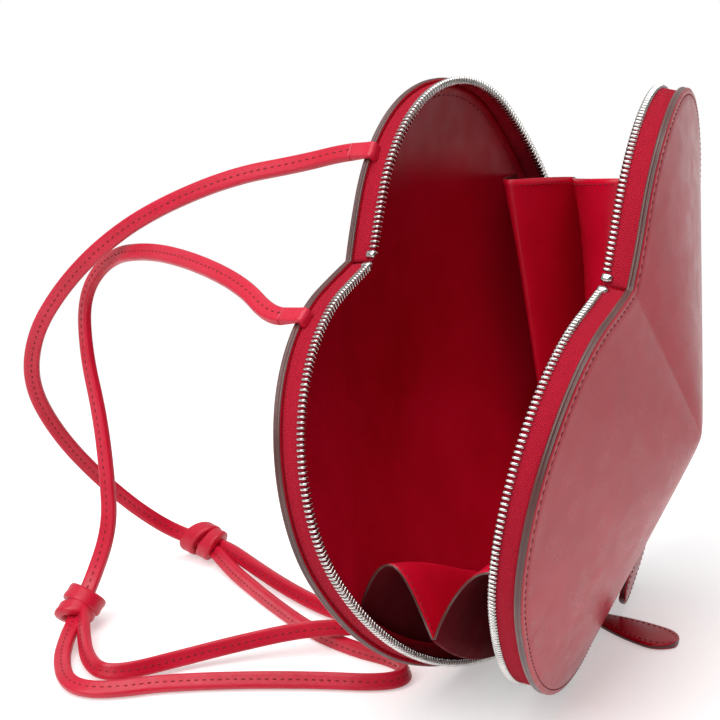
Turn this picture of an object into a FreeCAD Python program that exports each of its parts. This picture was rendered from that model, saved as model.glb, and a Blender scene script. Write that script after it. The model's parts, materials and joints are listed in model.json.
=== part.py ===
"""Heart shaped leather purse, lying open on one side, with two zips and a knotted strap.

Two cone shaped panels are drawn in the bag's own frame: x across the heart, y up its axis
from the tip, z through the closed bag from back to front.  The front swings open about an
oblique fold by the tip, and the bag then lies on the lower side of the heart.
"""
import FreeCAD, Part
import math
import os
from FreeCAD import Placement, Rotation, Vector

# Heart outline: a straight side, a wide side arc, a round lobe and a straight notch side on each half
HALF_TIP_ANGLE = 58.0
SIDE_LENGTH = 47.0
SIDE_RADIUS = 126.0
SIDE_TURN = 66.0
LOBE_RADIUS = 56.0
LOBE_TURN = 107.0

# Panels: shallow cones of bonded leather with a lining inside
APEX_HEIGHT = 110.0
RIM_RADIUS = 105.0
PANEL_SLOPE_SHARE = 0.23
LEATHER = 2.6
LINING = 1.0
LINING_CLEARANCE = 0.1
DART_RADIUS = 0.8

# Zips: one tape and one row of teeth per panel and lobe
TAPE_WIDTH = 8.3
TAPE_THICKNESS = 0.9
TAPE_INSET = 1.5
TAPE_CLEARANCE = 0.1
ROW_SLOPE_SHARE = 0.15
ROW_GAP = 1.0
TOOTH_PITCH = 2.15
TOOTH_LENGTH = 1.4
TOOTH_WIDTH = 2.8
TOOTH_HEIGHT = 3.0
TOOTH_GRIP = 2.2
HELD_ROW_START = 13.0
FREE_ROW_ROOM = 3.5
NOTCH_ROOM = 5.0
STOP_LENGTH = 3.2
STOP_WIDTH = 3.4
STOP_HEIGHT = 4.2

# Sliders: the upper one rides on the front's row, the floor one on the back's row
UPPER_SLIDER_AT = 22.0
FLOOR_SLIDER_AT = 28.0
SLIDER_LENGTH = 10.0
SLIDER_WIDTH = 9.2
SLIDER_NOSE = 6.0
PLATE = 1.2
TOOTH_CLEARANCE = 0.3
WEDGE_LENGTH = 2.4
WEDGE_WIDTH = 0.9
BAR_RADIUS = 0.6
BAR_RISE = 2.8
BAR_LEG = 1.4

# Pulls: a wire ring and a leather petal on a narrow neck
RING_RADIUS = 2.0
RING_WIRE = 0.5
RING_OFFSET = 0.75
PETAL_LENGTH = 36.0
PETAL_WIDTH = 17.0
PETAL_THICKNESS = 2.6
NECK_WIDTH = 4.0
NECK_THICKNESS = 2.0
NECK_BEND = 6.0
UPPER_NECK = 10.0
UPPER_PULL_HEADING = 6.0
UPPER_PULL_DIP = 8.0
UPPER_PETAL_DROOP = 28.5
UPPER_PETAL_TURN = 90.0
FLOOR_NECK = 5.0
FLOOR_PULL_HEADING = -17.0
FLOOR_PETAL_LIFT = 0.1

# Gussets: two inward humps with a crease between, along each side of the heart
GUSSET = 1.2
GUSSET_INSET = 8.0
GUSSET_CLEARANCE = 0.3
GUSSET_PLACES = (40.0, 98.0, 157.0)
GUSSET_DEPTHS = (5.0, 13.0, 20.0)
GUSSET_CREASE_SHARE = 0.4
GUSSET_LEAD_SHARE = 0.4
GUSSET_SKEW_SHARE = 1.7
GUSSET_STEPS = 8
TIP_FOLD = 1.4
TIP_FOLD_INSET = 5.4
TIP_FOLD_RISE = 1.2
TIP_FOLD_TOP = 9.5

# Strap: two leather strands that are tied round each other
STRAP_DIAMETER = 6.0
TAB_OVERHANG = 3.5
TAB_LEAD = 5.0
TAB_WIDTH = 6.6
TAB_THICKNESS = 2.2
TAB_CLEARANCE = 0.1
TAB_AT_SHARE = 0.15
BEND_SHARE = 0.45
KNOT_LENGTH = 15.0
KNOT_RADIUS = 7.6
KNOT_END_RADIUS = 4.2
KNOT_STEPS = 8

# How the bag opens and lies
FOLD_HEIGHT = 15.0
FOLD_AXIS_SHARES = Vector(0.992, -0.125, 0.027)
OPEN_ANGLE = 22.1
LEAN = 40.5
TILT = 10.3
TURN = -6.0
TIP_AT = Vector(4.7, 77.4, 10.76)
OVERRUN = 30.0
QUARTER_TURN = 90.0
FULL_TURN = 360.0

# Strap routes, from the floor under the tip
UPPER_STRAND = [
    (-78, -97, 172), (-104, -99, 166), (-133, -102, 153), (-154, -103, 139), (-172, -103, 122),
    (-186, -102, 103), (-193, -97, 82), (-191, -85, 60), (-184, -70, 39), (-173, -55, 20), (-160, -45, 9)]
NEAR_STRAND = [
    (-76, -139, 140), (-104, -123, 142), (-132, -107, 140), (-158, -93, 133), (-172, -90, 117),
    (-170, -93, 96), (-162, -97, 74), (-157, -101, 52), (-154, -105, 34), (-158, -113, 14)]
FIRST_DOUBLE = [
    (-144, -42, 8), (-127, -49, 5), (-106, -60, 4), (-84, -70, 4), (-66, -74, 4), (-56, -81, 6),
    (-60, -90, 10), (-78, -98, 10), (-97, -113, 6), (-109, -132, 4), (-119, -149, 4), (-131, -155, 4),
    (-141, -148, 4), (-148, -137, 5), (-154, -124, 8)]
SECOND_DOUBLE = [
    (-147, -49, 5), (-133, -58, 3.2), (-116, -69, 3.2), (-97, -81, 3.2), (-78, -91, 3.2), (-58, -98, 3.2),
    (-42, -100, 3.2), (-34, -106, 3.2), (-40, -114, 3.2), (-56, -123, 3.2), (-80, -135, 3.2),
    (-104, -149, 3.2), (-121, -161, 3.2), (-136, -163, 3.2), (-149, -153, 3.2), (-158, -139, 3.2),
    (-161, -124, 6)]
FIRST_KNOT = Vector(-152, -43, 8.2)
FIRST_KNOT_ALONG = Vector(15, -4, -2)
SECOND_KNOT = Vector(-158, -119, 9)
SECOND_KNOT_ALONG = Vector(1, -14, -6)


def polar(radius, angle):
    return Vector(radius * math.cos(angle), radius * math.sin(angle), 0)


class Heart:
    """Right half of the outline, drawn in by an inset: a line, two arcs and a line to the notch."""

    def __init__(self, inset=0.0):
        beta = math.radians(HALF_TIP_ANGLE)
        self.along = Vector(math.sin(beta), math.cos(beta), 0)
        inward = Vector(-math.cos(beta), math.sin(beta), 0)
        self.tip = Vector(0, inset / math.sin(beta), 0)
        self.side_start = inward * inset
        self.side_end = self.side_start + self.along * SIDE_LENGTH
        self.side_centre = self.along * SIDE_LENGTH + inward * SIDE_RADIUS
        self.side_radius = SIDE_RADIUS - inset
        self.first = -beta
        self.second = self.first + math.radians(SIDE_TURN)
        self.lobe_centre = self.side_centre + polar(SIDE_RADIUS - LOBE_RADIUS, self.second)
        self.lobe_radius = LOBE_RADIUS - inset
        self.last = self.second + math.radians(LOBE_TURN)
        self.lobe_end = self.lobe_centre + polar(self.lobe_radius, self.last)
        self.into_notch = Vector(-math.sin(self.last), math.cos(self.last), 0)
        self.notch_side = self.lobe_end.x / math.sin(self.last)
        self.notch = self.lobe_end + self.into_notch * self.notch_side
        self.side_arc = self.side_radius * (self.second - self.first)
        self.lobe_arc = self.lobe_radius * (self.last - self.second)
        self.length = SIDE_LENGTH + self.side_arc + self.lobe_arc + self.notch_side

    def half_edges(self):
        def arc(centre, radius, start, end):
            points = [centre + polar(radius, angle) for angle in (start, (start + end) / 2, end)]
            return Part.Arc(*points).toShape()

        return [
            Part.LineSegment(self.tip, self.side_end).toShape(),
            arc(self.side_centre, self.side_radius, self.first, self.second),
            arc(self.lobe_centre, self.lobe_radius, self.second, self.last),
            Part.LineSegment(self.lobe_end, self.notch).toShape()]

    def face(self):
        right = self.half_edges()
        left = [mirror_across(edge) for edge in right]
        return Part.Face(Part.Wire(Part.__sortEdges__(right + left)))

    def at(self, distance):
        """Place and heading on the half, at a distance from the tip along the outline."""
        if distance <= SIDE_LENGTH:
            return self.side_start + self.along * distance, self.along
        distance -= SIDE_LENGTH
        if distance <= self.side_arc:
            angle = self.first + distance / self.side_radius
            place = self.side_centre + polar(self.side_radius, angle)
            return place, Vector(-math.sin(angle), math.cos(angle), 0)
        distance -= self.side_arc
        if distance <= self.lobe_arc:
            angle = self.second + distance / self.lobe_radius
            place = self.lobe_centre + polar(self.lobe_radius, angle)
            return place, Vector(-math.sin(angle), math.cos(angle), 0)
        return self.lobe_end + self.into_notch * (distance - self.lobe_arc), self.into_notch


def mirror_across(shape):
    return shape.mirror(Vector(), Vector(1, 0, 0))


def mirror_through(shape):
    return shape.mirror(Vector(), Vector(0, 0, 1))


def apex_distance(place):
    return math.hypot(place.x, place.y - APEX_HEIGHT)


def panel_height(place):
    """Inner face of a panel's leather above the middle of the closed bag."""
    return ROW_GAP / 2 + TAPE_WIDTH + PANEL_SLOPE_SHARE * (RIM_RADIUS - apex_distance(place))


def row_height(place):
    """Tops of a row of teeth above the middle of the closed bag."""
    return ROW_GAP / 2 + ROW_SLOPE_SHARE * (RIM_RADIUS - apex_distance(place))


def cone(slope, rim_height):
    """Solid cone about the apex, whose face is at rim_height where it is RIM_RADIUS wide."""
    reach = RIM_RADIUS + OVERRUN
    solid = Part.makeCone(reach, 0, slope * reach)
    solid.translate(Vector(0, APEX_HEIGHT, rim_height - slope * OVERRUN))
    return solid


def prism(face):
    solid = face.extrude(Vector(0, 0, 2 * RIM_RADIUS))
    solid.translate(Vector(0, 0, -RIM_RADIUS))
    return solid


def panel_layer(inset, low, high):
    """Layer of a front panel between two heights above its leather's inner face."""
    rim = ROW_GAP / 2 + TAPE_WIDTH
    layer = cone(PANEL_SLOPE_SHARE, rim + high).cut(cone(PANEL_SLOPE_SHARE, rim + low))
    return layer.common(prism(Heart(inset).face())).Solids[0]


def leather():
    """Outer leather of the front, with the pressed dart from the notch to the apex."""
    heart = Heart()
    past_notch = heart.notch + Vector(0, OVERRUN, 0)
    apex = Vector(0, APEX_HEIGHT, 0)
    start = past_notch + Vector(0, 0, panel_height(past_notch) + LEATHER)
    line = apex + Vector(0, 0, panel_height(apex) + LEATHER) - start
    dart = Part.makeCylinder(DART_RADIUS, line.Length, start, line)
    return panel_layer(0, 0, LEATHER).cut(dart).Solids[0]


def lining():
    inset = TAPE_INSET + TAPE_THICKNESS + TAPE_CLEARANCE
    return panel_layer(inset, -LINING - LINING_CLEARANCE, -LINING_CLEARANCE)


def past(start):
    """Block that holds the right half past a distance from the tip, short of the notch."""
    heart = Heart()
    reach = 2 * heart.length
    block = Part.makeBox(reach, reach, reach, Vector(0, -heart.length, -heart.length))
    block.rotate(Vector(), Vector(0, 0, 1), math.degrees(math.atan2(heart.along.y, heart.along.x)))
    block.translate(heart.along * start)
    room = Part.makeBox(reach, reach, reach, Vector(NOTCH_ROOM / 2, -heart.length, -heart.length))
    return block.common(room)


def tape(start):
    """Right tape of the front, from its panel to the grip of the teeth."""
    outer = Heart(TAPE_INSET).face()
    inner = Heart(TAPE_INSET + TAPE_THICKNESS).face()
    top = cone(PANEL_SLOPE_SHARE, ROW_GAP / 2 + TAPE_WIDTH)
    bottom = cone(ROW_SLOPE_SHARE, ROW_GAP / 2 + TOOTH_HEIGHT - TOOTH_GRIP)
    band = prism(outer.cut(inner)).common(top).cut(bottom)
    return band.common(past(start)).Solids[0]


def row_centre():
    return Heart(TAPE_INSET + TAPE_THICKNESS / 2)


def row_end():
    return row_centre().length - NOTCH_ROOM / 2 - STOP_LENGTH


def block_on_row(distance, length, width, height):
    """Block that stands on the row's line, up from the tops of the teeth."""
    place, heading = row_centre().at(distance)
    block = Part.makeBox(length, width, height, Vector(-length / 2, -width / 2, 0))
    block.rotate(Vector(), Vector(0, 0, 1), math.degrees(math.atan2(heading.y, heading.x)))
    block.translate(Vector(place.x, place.y, row_height(place)))
    return block


def teeth(start):
    """Right row of the front: separate teeth, crimped on the tape's edge."""
    count = int((row_end() - start) / TOOTH_PITCH)
    places = [row_end() - TOOTH_PITCH * (step + 1) for step in range(count)]
    return Part.makeCompound(
        [block_on_row(place, TOOTH_LENGTH, TOOTH_WIDTH, TOOTH_HEIGHT) for place in places])


def stop():
    """Metal stop that ends a row by the notch."""
    return block_on_row(row_end() + STOP_LENGTH / 2, STOP_LENGTH, STOP_WIDTH, STOP_HEIGHT)


def free_row_start(slider_at):
    """Start of a row that the parked slider doesn't hold."""
    return slider_at + SLIDER_LENGTH / 2 + FREE_ROW_ROOM


def slider_frame(distance):
    """Placement of a right slider: x along the side, y out of the heart, z to the back."""
    place, heading = row_centre().at(distance)
    out = Vector(heading.y, -heading.x, 0)
    return Placement(FreeCAD.Matrix(
        heading.x, out.x, 0, place.x,
        heading.y, out.y, 0, place.y,
        0, 0, -1, 0,
        0, 0, 0, 1))


def bar_place(distance):
    """Middle of a right slider's bar."""
    height = TOOTH_WIDTH / 2 + TOOTH_CLEARANCE + PLATE + BAR_RISE
    return slider_frame(distance).multVec(Vector(0, height, 0))


def slider(distance):
    """Right slider on the back's row: a shield shaped plate on each side, a wedge and a bar."""
    half = SLIDER_LENGTH / 2
    gap = TOOTH_WIDTH / 2 + TOOTH_CLEARANCE
    nose = SLIDER_NOSE / 2
    mouth = SLIDER_WIDTH / 2
    corners = [(-half, -nose), (half, -mouth), (half, mouth), (-half, nose), (-half, -nose)]
    outline = Part.makePolygon([Vector(x, gap, z) for x, z in corners])
    outer = Part.Face(outline).extrude(Vector(0, PLATE, 0))
    inner = outer.mirror(Vector(), Vector(0, 1, 0))
    wedge_corner = Vector(half - WEDGE_LENGTH - PLATE, -gap, -WEDGE_WIDTH)
    pieces = [inner, Part.makeBox(WEDGE_LENGTH, 2 * gap, WEDGE_WIDTH, wedge_corner)]
    for x in (-half + BAR_LEG, half - 2 * BAR_LEG):
        foot = Vector(x, gap + PLATE, -BAR_RADIUS)
        pieces.append(Part.makeBox(BAR_LEG, BAR_RISE + BAR_RADIUS, 2 * BAR_RADIUS, foot))
    bar_start = Vector(-half + BAR_LEG, gap + PLATE + BAR_RISE, 0)
    pieces.append(Part.makeCylinder(BAR_RADIUS, SLIDER_LENGTH - 2 * BAR_LEG, bar_start, Vector(1, 0, 0)))
    body = outer.multiFuse(pieces).removeSplitter().Solids[0]
    body.Placement = slider_frame(distance)
    return body


def ring():
    """Wire ring round a bar at the origin: x towards the petal, z along the bar."""
    return Part.makeTorus(RING_RADIUS, RING_WIRE, Vector(RING_OFFSET, 0, 0), Vector(0, 0, 1))


def leaf():
    """Flat part of a petal: x along it, y through it, with sides that swell to a round end."""
    radius = PETAL_WIDTH / 2
    run = PETAL_LENGTH - radius
    rise = radius - NECK_WIDTH / 2
    side_radius = (run ** 2 + rise ** 2) / (2 * rise)
    middle = radius - side_radius + math.sqrt(side_radius ** 2 - (run / 2) ** 2)
    low = -PETAL_THICKNESS / 2
    neck = [Vector(0, low, side * NECK_WIDTH / 2) for side in (-1, 1)]
    wide = [Vector(run, low, side * radius) for side in (-1, 1)]
    edges = [
        Part.LineSegment(neck[0], neck[1]).toShape(),
        Part.Arc(neck[1], Vector(run / 2, low, middle), wide[1]).toShape(),
        Part.Arc(wide[1], Vector(PETAL_LENGTH, low, 0), wide[0]).toShape(),
        Part.Arc(wide[0], Vector(run / 2, low, -middle), neck[0]).toShape()]
    return Part.Face(Part.Wire(edges)).extrude(Vector(0, PETAL_THICKNESS, 0))


def petal(neck_run, turn):
    """Petal in the ring's frame: a neck that leaves the ring along x and turns to -y, and a leaf."""
    start = RING_OFFSET + RING_RADIUS - RING_WIRE
    corner = Vector(start, -NECK_THICKNESS / 2, -NECK_WIDTH / 2)
    neck = Part.makeBox(neck_run, NECK_THICKNESS, NECK_WIDTH, corner)
    bend_centre = Vector(start + neck_run, -NECK_BEND, 0)
    turned = Rotation(Vector(0, 0, 1), -turn)
    blade = leaf()
    blade.Placement = Placement(bend_centre + turned.multVec(Vector(0, NECK_BEND, 0)), turned)
    pieces = [blade]
    if turn:
        end = max(neck.Faces, key=lambda face: face.CenterOfMass.x)
        pieces.append(end.revolve(bend_centre, Vector(0, 0, 1), -turn))
    return neck.multiFuse(pieces).removeSplitter().Solids[0]


def framed(shape, frame):
    shape = shape.copy()
    shape.Placement = frame * shape.Placement
    return shape


def swing():
    """Turn of the front about the fold by the tip, from closed to open."""
    return Placement(Vector(), Rotation(FOLD_AXIS_SHARES, OPEN_ANGLE), Vector(0, FOLD_HEIGHT, 0))


def opened(shape):
    return framed(shape, swing())


def gusset_wire(side, distance, depth):
    """Closed W of a gusset across the open bag, at a distance from the tip."""
    place, heading = Heart(GUSSET_INSET).at(distance)
    height = panel_height(place) - LINING - LINING_CLEARANCE - GUSSET_CLEARANCE - GUSSET / 2
    inward = Vector(-heading.y * side, heading.x, 0)
    back = Vector(place.x * side, place.y, -height)
    front = swing().multVec(Vector(place.x * side, place.y, height))
    length = (front - back).Length
    across = (front - back).normalize()
    ahead = Vector(heading.x * side, heading.y, 0)
    inward += ahead * GUSSET_LEAD_SHARE
    inward += swing().Rotation.multVec(inward)
    inward = (inward - across * inward.dot(across)).normalize()
    middle = []
    for step in range(2 * GUSSET_STEPS + 1):
        share = step / (2 * GUSSET_STEPS)
        from_crease = abs(1 - 2 * share)
        hump = math.sin(math.pi * from_crease ** GUSSET_SKEW_SHARE)
        rise = hump - GUSSET_CREASE_SHARE * (1 - from_crease)
        middle.append(Vector(share * length, depth * rise, 0))
    sides = ([], [])
    for index, point in enumerate(middle):
        step = (middle[min(index + 1, len(middle) - 1)] - middle[max(index - 1, 0)]).normalize()
        for points, sign in zip(sides, (1, -1)):
            edge = point + Vector(-step.y, step.x, 0) * (sign * GUSSET / 2)
            points.append(back + across * edge.x + inward * edge.y)
    loop = sides[0] + sides[1][::-1]
    return Part.makePolygon(loop + loop[:1])


def gusset(side):
    wires = [gusset_wire(side, *pair) for pair in zip(GUSSET_PLACES, GUSSET_DEPTHS)]
    return Part.makeLoft(wires, True, True)


def tip_fold():
    """Leather fold that closes the tip between the panels, sewn to the front's mirror image."""
    outer = Heart(TIP_FOLD_INSET).face()
    inner = Heart(TIP_FOLD_INSET + TIP_FOLD).face()
    rim = ROW_GAP / 2 + TAPE_WIDTH - LINING - LINING_CLEARANCE
    band = prism(outer.cut(inner)).common(cone(PANEL_SLOPE_SHARE, rim))
    reach = 2 * RIM_RADIUS
    keep = Part.makeBox(reach, TIP_FOLD_TOP, reach, Vector(-RIM_RADIUS, 0, -TIP_FOLD_RISE))
    return band.common(keep).Solids[0]


def tab_frame():
    """Placement of the right strap tab on a front's rim: x out of the heart, z off the inner face."""
    heart = Heart()
    place, heading = heart.at(heart.length - heart.notch_side - heart.lobe_arc * TAB_AT_SHARE)
    out = Rotation(Vector(0, 0, 1), math.degrees(math.atan2(-heading.x, heading.y)))
    low = min(panel_height(place + heading * side * TAB_WIDTH / 2) for side in (-1, 1))
    return Placement(place + Vector(0, 0, low), out)


def strap_tab():
    """Flat end of a strand: over the leather's edge, and in beside the foot of the tape."""
    inner = TAB_CLEARANCE - TAPE_INSET
    outer = TAB_CLEARANCE + TAB_THICKNESS
    low = -TAB_CLEARANCE - TAB_THICKNESS
    high = LEATHER + TAB_OVERHANG
    corners = [
        (inner, low), (outer, low), (outer, high), (TAB_CLEARANCE, high),
        (TAB_CLEARANCE, -TAB_CLEARANCE), (inner, -TAB_CLEARANCE), (inner, low)]
    outline = Part.makePolygon([Vector(x, -TAB_WIDTH / 2, z) for x, z in corners])
    tab = Part.Face(outline).extrude(Vector(0, TAB_WIDTH, 0))
    tab.Placement = tab_frame()
    return tab


def strand_start(side):
    """First two points of a strand where the bag lies: the tab's end, and straight on from it."""
    points = []
    for height in (LEATHER + TAB_OVERHANG, LEATHER + TAB_OVERHANG + TAB_LEAD):
        point = tab_frame().multVec(Vector(TAB_CLEARANCE + TAB_THICKNESS / 2, 0, height))
        points.append(bag_frame().multVec(Vector(point.x * side, point.y, -point.z)))
    return points


def bag_frame():
    """Placement of the bag's frame where it lies: lean, then tilt, then turn."""
    lean = math.radians(LEAN)
    upright = Rotation(FreeCAD.Matrix(
        0, 0, 1, 0,
        math.cos(lean), -math.sin(lean), 0, 0,
        math.sin(lean), math.cos(lean), 0, 0,
        0, 0, 0, 1))
    turned = Rotation(Vector(0, 0, 1), TURN) * Rotation(Vector(0, 1, 0), -TILT) * upright
    return Placement(TIP_AT, turned)


def lie(shape):
    """Piece of the bag, moved from the bag's frame to where it lies."""
    return framed(shape, bag_frame())


def strand(name, points):
    """Round strand along straight runs joined by arcs that are as large as the runs allow."""
    edges = []
    radii = []
    last = points[0]
    for before, here, after in zip(points, points[1:], points[2:]):
        into = here - before
        out = after - here
        half_turn = into.getAngle(out) / 2
        setback = BEND_SHARE * min(into.Length, out.Length)
        radius = setback / math.tan(half_turn)
        start = here - into.normalize() * setback
        end = here + out.normalize() * setback
        inner = (start + end) / 2 - here
        middle = here + inner.normalize() * (radius / math.cos(half_turn) - radius)
        edges += [Part.LineSegment(last, start).toShape(), Part.Arc(start, middle, end).toShape()]
        radii.append(round(radius))
        last = end
    edges.append(Part.LineSegment(last, points[-1]).toShape())
    path = Part.Wire(edges)
    section = Part.Wire(Part.makeCircle(STRAP_DIAMETER / 2, points[0], points[1] - points[0]))
    tube = path.makePipeShell([section], True, False)
    full = math.pi * STRAP_DIAMETER ** 2 / 4 * path.Length
    print(name, "radii", radii, "volume", round(tube.Volume), "of", round(full))
    return tube


def route(points):
    foot = Vector(TIP_AT.x, TIP_AT.y, 0)
    return [foot + Vector(*point) for point in points]


def knot(place, along):
    """Pulled tight overhand knot: a barrel about the strand."""
    points = [Vector(-KNOT_LENGTH / 2, 0, 0)]
    for step in range(KNOT_STEPS + 1):
        share = 2 * step / KNOT_STEPS - 1
        radius = KNOT_RADIUS - (KNOT_RADIUS - KNOT_END_RADIUS) * share ** 2
        points.append(Vector(share * KNOT_LENGTH / 2, radius, 0))
    points.append(Vector(KNOT_LENGTH / 2, 0, 0))
    profile = Part.Face(Part.makePolygon(points + points[:1]))
    barrel = profile.revolve(Vector(), Vector(1, 0, 0), FULL_TURN)
    return framed(barrel, Placement(place, Rotation(Vector(1, 0, 0), along)))


def panels():
    """Leather, lining, tapes, rows and stops of both sides, where they lie."""
    def back(shape):
        return lie(mirror_through(shape))

    def front(shape):
        return lie(opened(shape))

    nodes = {}
    starts = {
        "back_upper": free_row_start(UPPER_SLIDER_AT),
        "back_floor": HELD_ROW_START,
        "front_upper": HELD_ROW_START,
        "front_floor": free_row_start(FLOOR_SLIDER_AT)}
    for side, place in (("back", back), ("front", front)):
        nodes[f"{side}_panel"] = place(leather())
        nodes[f"{side}_lining"] = place(lining())
        for half in ("upper", "floor"):
            start = starts[f"{side}_{half}"]
            for piece, shape in (("tape", tape(start)), ("teeth", teeth(start)), ("stop", stop())):
                nodes[f"{side}_{half}_{piece}"] = place(shape if half == "upper" else mirror_across(shape))
    return nodes


def pulls():
    """Sliders, rings and petals: the upper set on the front, the floor set on the back."""
    nodes = {}
    nodes["upper_slider"] = lie(opened(mirror_through(slider(UPPER_SLIDER_AT))))
    nodes["floor_slider"] = lie(mirror_across(slider(FLOOR_SLIDER_AT)))

    bar = (bag_frame() * swing()).multVec(bar_place(UPPER_SLIDER_AT))
    dip = Rotation(Vector(0, 1, 0), UPPER_PULL_DIP) * Rotation(Vector(1, 0, 0), UPPER_PETAL_DROOP)
    frame = Placement(bar, Rotation(Vector(0, 0, 1), UPPER_PULL_HEADING) * dip)
    nodes["upper_ring"] = framed(ring(), frame)
    nodes["upper_petal"] = framed(petal(UPPER_NECK, UPPER_PETAL_TURN), frame)
    print("upper pull", bar)

    bar = bar_place(FLOOR_SLIDER_AT)
    bar = bag_frame().multVec(Vector(-bar.x, bar.y, bar.z))
    flat = Rotation(Vector(0, 0, 1), FLOOR_PULL_HEADING) * Rotation(Vector(1, 0, 0), QUARTER_TURN)
    level = Vector(bar.x, bar.y, FLOOR_PETAL_LIFT + PETAL_THICKNESS / 2)
    nodes["floor_ring"] = framed(ring(), Placement(bar, flat))
    nodes["floor_petal"] = framed(petal(FLOOR_NECK, 0), Placement(level, flat))
    print("floor pull", bar)
    return nodes


def strap():
    """Tabs, strands and knots of the strap."""
    first, second = route([FIRST_KNOT, SECOND_KNOT])
    return {
        "upper_strap_tab": lie(mirror_through(strap_tab())),
        "near_strap_tab": lie(mirror_through(mirror_across(strap_tab()))),
        "upper_strand": strand("upper_strand", strand_start(1) + route(UPPER_STRAND)),
        "near_strand": strand("near_strand", strand_start(-1) + route(NEAR_STRAND)),
        "first_double": strand("first_double", route(FIRST_DOUBLE)),
        "second_double": strand("second_double", route(SECOND_DOUBLE)),
        "first_knot": knot(first, FIRST_KNOT_ALONG),
        "second_knot": knot(second, SECOND_KNOT_ALONG)}


os.makedirs("parts", exist_ok=True)
nodes = panels()
nodes["tip_fold"] = lie(mirror_through(tip_fold()))
nodes["upper_gusset"] = lie(gusset(1))
nodes["floor_gusset"] = lie(gusset(-1))
nodes.update(pulls())
nodes.update(strap())
for name, shape in nodes.items():
    shape.exportStep(f"parts/{name}.step")
print("fold", bag_frame().multVec(Vector(0, FOLD_HEIGHT, 0)))
print("fold axis", bag_frame().Rotation.multVec(FOLD_AXIS_SHARES))
print("upper side", (bag_frame() * swing()).Rotation.multVec(Heart().along))
print("floor side", bag_frame().Rotation.multVec(mirror_across(Part.Vertex(Heart().along)).Point))
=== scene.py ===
# %% [markdown]
# A heart shaped leather purse lies open on its side.  Two cone shaped leather panels are
# joined by folding gussets, a zip runs along each side of the heart, and a rolled leather
# strap, tied to itself, lies beside it.  Everything here is in metres, in the frame of the
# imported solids, so each piece is built where its solid lies and rides on the same body.

# %% Load the frame
import json
import math

import bmesh
import bpy
import numpy as np
from mathutils import Matrix, Vector


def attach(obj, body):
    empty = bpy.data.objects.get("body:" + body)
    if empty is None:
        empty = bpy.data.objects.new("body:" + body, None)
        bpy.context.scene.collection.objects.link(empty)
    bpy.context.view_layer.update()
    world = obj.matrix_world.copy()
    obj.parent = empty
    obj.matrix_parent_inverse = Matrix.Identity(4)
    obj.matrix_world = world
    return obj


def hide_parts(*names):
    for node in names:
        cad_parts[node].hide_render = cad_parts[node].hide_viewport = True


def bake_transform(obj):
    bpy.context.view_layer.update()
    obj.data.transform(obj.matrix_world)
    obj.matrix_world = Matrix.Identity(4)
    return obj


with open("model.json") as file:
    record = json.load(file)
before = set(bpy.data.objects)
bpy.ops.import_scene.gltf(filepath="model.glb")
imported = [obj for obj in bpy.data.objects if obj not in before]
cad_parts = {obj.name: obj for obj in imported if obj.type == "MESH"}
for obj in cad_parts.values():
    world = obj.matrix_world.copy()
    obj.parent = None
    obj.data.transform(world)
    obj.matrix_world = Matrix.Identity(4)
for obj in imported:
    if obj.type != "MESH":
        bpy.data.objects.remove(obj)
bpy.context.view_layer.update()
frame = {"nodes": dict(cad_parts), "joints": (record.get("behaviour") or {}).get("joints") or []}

# %% [markdown]
# The photograph is taken from the open side of the bag, a little above it.  A long lens at
# about 0.6 m gives its mild perspective.  The camera comes first.

# %% Camera
CAMERA_AT = (0.1916, -0.5071, 0.25715)
CAMERA_HEADING = math.radians(26.5)
CAMERA_DIP = math.radians(15.32)
CAMERA_LENS = 85.0
CAMERA_SENSOR = 36.0


def aim_camera():
    data = bpy.data.cameras.new("camera")
    data.lens = CAMERA_LENS
    data.sensor_width = CAMERA_SENSOR
    eye = bpy.data.objects.new("camera", data)
    eye.location = CAMERA_AT
    eye.rotation_euler = (math.pi / 2 - CAMERA_DIP, 0, CAMERA_HEADING)
    bpy.context.scene.collection.objects.link(eye)
    bpy.context.scene.camera = eye
    return eye


print("camera", aim_camera().location)

# %% [markdown]
# The scene is a white studio.  The surround is white to the camera and dimmer as a source of
# light, so colours stay as written.  In reflections it is a white sweep on the far side only.
# The room behind the camera is dim, so leather that faces the camera stays a full red, and
# leather that is seen at a slant turns pale.

# %% White surround
WHITE = (1, 1, 1, 1)
FAR_SIDE = (-0.446, 0.895, 0.0)
FAR_SPAN = (-0.55, 0.25)
SWEEP_SHINE = (0.12, 0.68)
SKY_SPAN = (0.0, 0.8)
SURROUND_LIGHT = (0.08, 0.20)


def node_tree(material):
    material.use_nodes = True
    return material.node_tree.nodes, material.node_tree.links


def between(nodes, links, value, span, low_high, easing="SMOOTHSTEP"):
    """Value taken from a low to a high number over a span."""
    ease = nodes.new("ShaderNodeMapRange")
    ease.interpolation_type = easing
    ease.inputs["From Min"].default_value, ease.inputs["From Max"].default_value = span
    ease.inputs["To Min"].default_value, ease.inputs["To Max"].default_value = low_high
    links.new(value, ease.inputs["Value"])
    return ease.outputs["Result"]


def choose(nodes, links, picked, without, chosen):
    """One of two values: the chosen one where picked is 1."""
    mix = nodes.new("ShaderNodeMix")
    links.new(picked, mix.inputs["Factor"])
    links.new(without, mix.inputs["A"])
    if isinstance(chosen, float):
        mix.inputs["B"].default_value = chosen
    else:
        links.new(chosen, mix.inputs["B"])
    return mix.outputs["Result"]


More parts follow.
